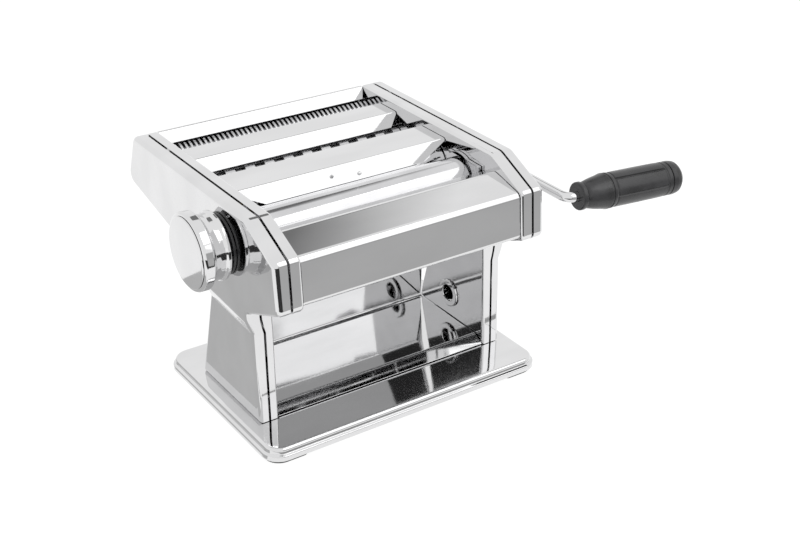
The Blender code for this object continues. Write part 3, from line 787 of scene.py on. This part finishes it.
def narrow_lands(offset):
    """Thin discs at the narrow pitch; the facing roller's discs run between them."""
    land_half = 0.78
    centres = [k * NARROW_PITCH + offset for k in range(-23, 24)]
    return [(c - land_half, c + land_half) for c in centres if abs(c) + land_half < 74.6]


def cutting_pair(pair, rear_lands, front_lands, segments):
    rear = pair + "_cutter_rear"
    front = pair + "_cutter_front"
    spacing = middle(rear, Y) - middle(front, Y)
    root = spacing - half(rear, Z) - 0.3
    grooved(rear, rear_lands, root, segments)
    grooved(front, front_lands, root, segments)


# ---------------------------------------------------------------- knob, sockets and crank


def knob():
    """The thickness knob: a spool with two rims, a domed polished face and a small index stud."""
    back = span("thickness_knob", X)[1]
    face = span("knob_face", X)[0]
    rim = half("thickness_knob", Z)
    body = rounded(
        [
            (face + 1.5, 8.4, 0),
            (face + 1.5, rim, 1.9),
            (face + 7.6, rim, 1.2),
            (face + 9.6, 20.6, 1.6),
            (face + 13.2, 19.4, 3.0),
            (face + 16.2, 19.4, 0.8),
            (face + 17.4, 20.6, 0.8),
            (back, 20.6, 0.6),
            (back, 4.3, 0),
            (face + 11.5, 4.3, 0),
            (face + 11.5, 8.4, 0),
        ],
        8.0,
    )
    turned("knob_spool", body, KNOB_Y, ROLLER_Z, "chrome", "thickness_knob", bore=True, segments=128)
    disc_r = half("knob_face", Z)
    dome = 0.55
    profile = [(face + dome * (k / 12) ** 2, (disc_r - 1.4) * k / 12) for k in range(13)]
    for degrees in range(15, 91, 15):
        t = math.radians(degrees)
        profile.append((face + dome + 0.65 * (1 - math.cos(t)), disc_r - 1.4 + 1.4 * math.sin(t)))
    profile.append((face + 1.2, 0.0))
    turned("knob_disc", profile, KNOB_Y, ROLLER_Z, "chrome", "knob_face", segments=128)
    stud_r = 1.3
    angles = [math.radians(t) for t in range(0, 181, 15)]
    stud = [(-stud_r * math.cos(t), stud_r * math.sin(t)) for t in angles]
    stud_z = ROLLER_Z + 20.6
    knob_body = BODY_OF["thickness_knob"]
    turned("knob_index_stud", stud, KNOB_Y, stud_z, "chrome", body=knob_body, segments=32, edge=0)
    low, high = span("index_ring", X)
    radius = half("index_ring", Z)
    ring = [
        (high, 6.2, 0),
        (high, radius, 0.3),
        (high - 1.6, radius, 0.5),
        (high - 1.9, 11.2, 0.2),
        (low, 11.2, 0.3),
        (low, 6.2, 0),
    ]
    plate = rounded(ring, 20.0)
    turned("index_plate", plate, KNOB_Y, ROLLER_Z, "black_plastic", "index_ring", bore=True)


def rings():
    """The clamp socket's flange in the right leg, and the rims of the three crank ports."""
    low, high = span("clamp_socket", X)
    outer = half("clamp_socket", Z)
    corners = [
        (high, 5.6, 0),
        (high, 7.1, 0),
        (low + 1.3, 7.1, 0),
        (low + 1.3, outer, 0.4),
        (low, outer, 0.9),
        (low, 5.6, 0.6),
    ]
    socket = rounded(corners, 15.0)
    y = middle("clamp_socket", Y)
    z = middle("clamp_socket", Z)
    turned("clamp_socket_flange", socket, y, z, "chrome", "clamp_socket", bore=True)
    for label in ("smooth", "wide", "narrow"):
        node = label + "_crank_port"
        low, high = span(node, X)
        outer = half(node, Z)
        corners = [
            (low, 5.5, 0),
            (low, 6.2, 0),
            (low + 1.5, 6.2, 0),
            (low + 1.5, outer, 0.3),
            (high, outer, 0.9),
            (high, 5.5, 0.6),
        ]
        rim = rounded(corners, 15.0)
        turned(node + "_rim", rim, middle(node, Y), middle(node, Z), "chrome", node, bore=True)


def grip_axis():
    """Where the crank's arm ends, and the point that its grip's spindle aims at."""
    arm_x = 109.0
    arm_end = -72.0
    start = Vector((arm_x, arm_end, ROLLER_Z))
    return start, Vector((192.6, -79.5, 106.2))


def on_grip(name, bm, slot, *nodes, **more):
    """A body turned about X, stood on the grip's own axis; its x is measured from the arm's bend."""
    start, tip = grip_axis()
    turn = Vector((1, 0, 0)).rotation_difference((tip - start).normalized()).to_matrix().to_4x4()
    bm.transform(Matrix.Translation(start) @ turn)
    return finish(name, bm, slot, *nodes, **more)


def grip_mesh(bore):
    """The grip: a waisted cone, a groove, and a barrel of six raised panels with thin grooves between."""
    bm = bmesh.new()
    panels_round = 6
    per_panel = 24
    count = panels_round * per_panel
    cone = [(10.9, 6.6), (11.4, 7.2), (13.5, 8.5), (18.0, 9.65), (24.0, 10.7), (26.2, 11.25)]
    neck = [(26.8, 11.3), (27.0, 10.75), (28.3, 10.75), (28.5, 11.15), (29.6, 11.15), (30.4, 11.0)]
    barrel = [(31.2, 10.55), (32.0, 10.95), (36.0, 11.0), (50.0, 11.0)]
    barrel += [(66.0, 10.9), (69.2, 10.8), (69.9, 10.4)]
    end = [(70.6, 10.4), (71.2, CAP_R), (73.4, CAP_R), (73.9, 10.5)]
    rings_of_points = []
    for x, r in cone + neck + barrel + end:
        panelled = (x, r) in barrel[1:-1]
        loop = []
        for k in range(count):
            within = (k % per_panel) / per_panel
            to_edge = min(within, 1 - within) * per_panel
            sunk = 0.75 if panelled and to_edge < 1.0 else 0.28 if panelled and to_edge < 2.0 else 0.0
            t = 2 * math.pi * (k / count)
            loop.append(bm.verts.new((x, (r - sunk) * math.cos(t), (r - sunk) * math.sin(t))))
        rings_of_points.append(loop)
    for x in (73.9, 10.9):
        loop = []
        for k in range(count):
            t = 2 * math.pi * k / count
            loop.append(bm.verts.new((x, bore * math.cos(t), bore * math.sin(t))))
        rings_of_points.append(loop)
    for a, b in zip(rings_of_points, rings_of_points[1:] + rings_of_points[:1]):
        skin(bm, a, b)
    return bm


def crank():
    """The bent rod with its drive end in the rear smooth roller, and the grip that spins on it."""
    start, tip = grip_axis()
    along = (tip - start).normalized()
    inner_end = Vector((83.2, ROLLER_Y["rear"], ROLLER_Z))
    elbow = Vector((start.x, ROLLER_Y["rear"], ROLLER_Z))
    last = tip - along * 4.0
    path = [inner_end] + bend(elbow, inner_end, start, 7.0) + bend(start, elbow, last, 6.0) + [last]
    finish("crank_bar", sweep(path, ARM_R, 40), "chrome", "crank_rod", crease=50.0)
    bore = ARM_R + 0.13
    collar = rounded([(7.2, bore, 0), (7.2, 8.8, 1.0), (10.4, 8.8, 0.7), (10.4, bore, 0)], 12.0)
    on_grip("grip_collar_ring", turned_mesh(collar, FINE, True), "black_plastic", "grip_collar")
    on_grip("grip_body", grip_mesh(bore), "black_plastic", "crank_grip", crease=24.0)
    corners = [
        (84.0, 0.0, 0),
        (83.6, 7.2, 3.2),
        (80.6, 10.2, 3.0),
        (77.5, CAP_R, 1.0),
        (74.4, CAP_R, 0.5),
        (74.4, 4.2, 0),
    ]
    cap = rounded(corners, 10.0, False)
    profile = [tuple(p) for p in cap] + [(80.4, 4.2), (80.4, 0.0)]
    on_grip("grip_cap", turned_mesh(profile, FINE), "black_plastic", "grip_end_cap")


# ---------------------------------------------------------------- inner parts


def guide(side, word):
    """A cheek at the end of the smooth rollers that keeps the dough on them."""
    node = "dough_guide_" + word
    outline = [Vector((1.2, 124.2)), Vector((-30.4, 123.4)), Vector((-30.4, 114.0)), Vector((-27.0, 110.0))]
    around = 16.4
    for degrees in range(172, 46, -6):
        t = math.radians(degrees)
        outline.append(Vector((KNOB_Y + around * math.cos(t), ROLLER_Z + around * math.sin(t))))
    low, high = span(node, X)
    bm = bmesh.new()
    a = ring_of(bm, outline, low)
    b = ring_of(bm, outline, high)
    skin(bm, a, b)
    bm.faces.new(a)
    bm.faces.new(b)
    finish(node + "_cheek", bm, "steel", node, edge=0.3)


def carried_over():
    """CAD nodes whose shape is right keep it, and get their finish."""
    finish_of = {"gear": "nylon", "bush": "brass", "bearing": "brass"}
    for node, obj in frame["nodes"].items():
        if obj.hide_render:
            continue
        slot = next((finish_of[word] for word in finish_of if word in node), "steel")
        obj.data.materials.clear()
        obj.data.materials.append(FINISHES[slot])


# ---------------------------------------------------------------- studio


def glowing(name, tone):
    """A surface that only gives off light of its own, at one grey tone."""
    made, _, shader = new_material(name)
    shader.inputs["Base Color"].default_value = (0.0, 0.0, 0.0, 1.0)
    shader.inputs["Specular IOR Level"].default_value = 0.0
    shader.inputs["Emission Color"].default_value = (tone, tone, tone, 1.0)
    shader.inputs["Emission Strength"].default_value = 1.0
    return made


def card(name, corners, tone, far_tone=None):
    """A studio card that only shows in reflections, as a polygon of points in the machine's frame.

    With a second tone, it fades to that one over the last third of its first edge.
    """
    mesh = bpy.data.meshes.new(name)
    mesh.from_pydata([place(p) for p in corners], [], [list(range(len(corners)))])
    obj = bpy.data.objects.new(name, mesh)
    bpy.context.scene.collection.objects.link(obj)
    paint = glowing(name, tone)
    if far_tone is not None:
        along = mesh.uv_layers.new(name="along")
        for loop, u in zip(along.data, (0.0, 1.0, 1.0, 0.0)):
            loop.uv = (u, 0.5)
        tree = paint.node_tree
        coords = add(tree, "ShaderNodeTexCoord")
        split = add(tree, "ShaderNodeSeparateXYZ")
        tree.links.new(coords.outputs["UV"], split.inputs["Vector"])
        faded = colour_between(tree, split.outputs["X"], (tone,) * 3, (far_tone,) * 3, 0.55, 1.0)
        tree.links.new(faded, tree.nodes["Principled BSDF"].inputs["Emission Color"])
    mesh.materials.append(paint)
    obj.visible_camera = False
    obj.visible_diffuse = False
    obj.visible_shadow = False


def floor_card(name, across, along, height, tone):
    """A card that lies flat: its X range, its Y range and its height."""
    corners = [(across[0], along[0]), (across[1], along[0]), (across[1], along[1]), (across[0], along[1])]
    card(name, [(x, y, height) for x, y in corners], tone)


def facing_card(name, azimuth, elevation, distance, width, height, tone, far_tone=None):
    """A card square to the machine, in a direction measured from the back (+Y) towards the crank."""
    a = math.radians(azimuth)
    e = math.radians(elevation)
    away = Vector((math.sin(a) * math.cos(e), math.cos(a) * math.cos(e), math.sin(e)))
    right = away.cross(Vector((0, 0, 1))).normalized()
    up = right.cross(away)
    centre = Vector((0, 0, 90)) + away * distance
    corners = [centre + right * (sx * width / 2) + up * (sy * height / 2) for sx, sy in SQUARE]
    card(name, corners, tone, far_tone)


def studio():
    """A white sweep and sky, with grey and black cards that give the chrome something to reflect."""
    world = bpy.data.worlds.new("studio_sky")
    bpy.context.scene.world = world
    world.use_nodes = True
    sky = world.node_tree.nodes["Background"]
    sky.inputs["Color"].default_value = (1.0, 1.0, 1.0, 1.0)
    sky.inputs["Strength"].default_value = 1.0
    floor_z = span("foot_front_left", Z)[0]
    reach = 6000.0
    corners = [place((sx * reach, sy * reach, floor_z - 0.05)) for sx, sy in SQUARE]
    mesh = bpy.data.meshes.new("studio_floor")
    mesh.from_pydata(corners, [], [[0, 1, 2, 3]])
    floor = bpy.data.objects.new("studio_floor", mesh)
    bpy.context.scene.collection.objects.link(floor)
    paint = glowing("floor_white", 0.93)
    shader = paint.node_tree.nodes["Principled BSDF"]
    shader.inputs["Base Color"].default_value = (0.14, 0.14, 0.14, 1.0)
    shader.inputs["Roughness"].default_value = 0.9
    mesh.materials.append(paint)
    above = floor_z + 1.0
    floor_card("front_floor_grey", (0, 1100), (-1400, -230), above, 0.5)
    floor_card("front_floor_black", (-700, 0), (-1400, -230), above, 0.04)
    floor_card("left_floor_grey", (-260, -100), (-60, 160), above, 0.55)
    floor_card("rim_shade", (-150, 150), (-80, -74), above, 0.35)
    wall = [(-300, -1400, above), (1500, -1400, above), (1500, -1400, 420), (-300, -1400, 420)]
    card("front_wall", wall, 0.46)
    facing_card("nose_flag", 38.5, 49.0, 1500.0, 560.0, 520.0, 0.22, 1.0)
    facing_card("key_panel", 130.0, 47.0, 1500.0, 900.0, 700.0, 1.6)
    facing_card("low_panel", 145.0, 24.0, 1300.0, 700.0, 420.0, 1.5)
    lamp = bpy.data.lights.new("soft_box", "AREA")
    lamp.shape = "RECTANGLE"
    lamp.size = 1.4
    lamp.size_y = 0.9
    lamp.energy = 9.0
    box = bpy.data.objects.new("soft_box", lamp)
    bpy.context.scene.collection.objects.link(box)
    box.location = place((700, -900, 1500))
    box.rotation_mode = "QUATERNION"
    box.rotation_quaternion = (place((0, 0, 90)) - box.location).to_track_quat("-Z", "Y")


def camera():
    """The photographer's view: from the front left, a little above, level to within half a degree."""
    azimuth = math.radians(-34.89)
    elevation = math.radians(26.96)
    roll = math.radians(0.45)
    back = Vector(
        (
            math.sin(azimuth) * math.cos(elevation),
            -math.cos(azimuth) * math.cos(elevation),
            math.sin(elevation),
        )
    )
    data = bpy.data.cameras.new("camera")
    data.lens = 62.55
    data.sensor_width = 36.0
    data.shift_x = -0.0264
    data.shift_y = -0.0161
    data.clip_start = 0.01
    data.clip_end = 50.0
    cam = bpy.data.objects.new("camera", data)
    bpy.context.scene.collection.objects.link(cam)
    cam.rotation_mode = "QUATERNION"
    turn = (-back).to_track_quat("-Z", "Y").to_matrix() @ Matrix.Rotation(roll, 3, "Z")
    cam.rotation_quaternion = turn.to_quaternion()
    cam.location = place((-400.8, -649.2, 459.6))
    bpy.context.scene.camera = cam
    bpy.context.scene.view_settings.view_transform = "Standard"


base_tray()
for corner_name in ("front_left", "front_right", "rear_left", "rear_right"):
    foot("foot_" + corner_name)
for side, word in ((-1, "left"), (1, "right")):
    side_frame(side, word)
    side_cover(side, word)
    guide(side, word)
panels()
smooth_roller("front")
smooth_roller("rear")
cutting_pair("wide", wide_lands(WIDE_START), wide_lands(WIDE_START + WIDE_PITCH / 2), 96)
cutting_pair("narrow", narrow_lands(0.0), narrow_lands(NARROW_PITCH / 2), 72)
knob()
rings()
crank()
carried_over()
studio()
camera()
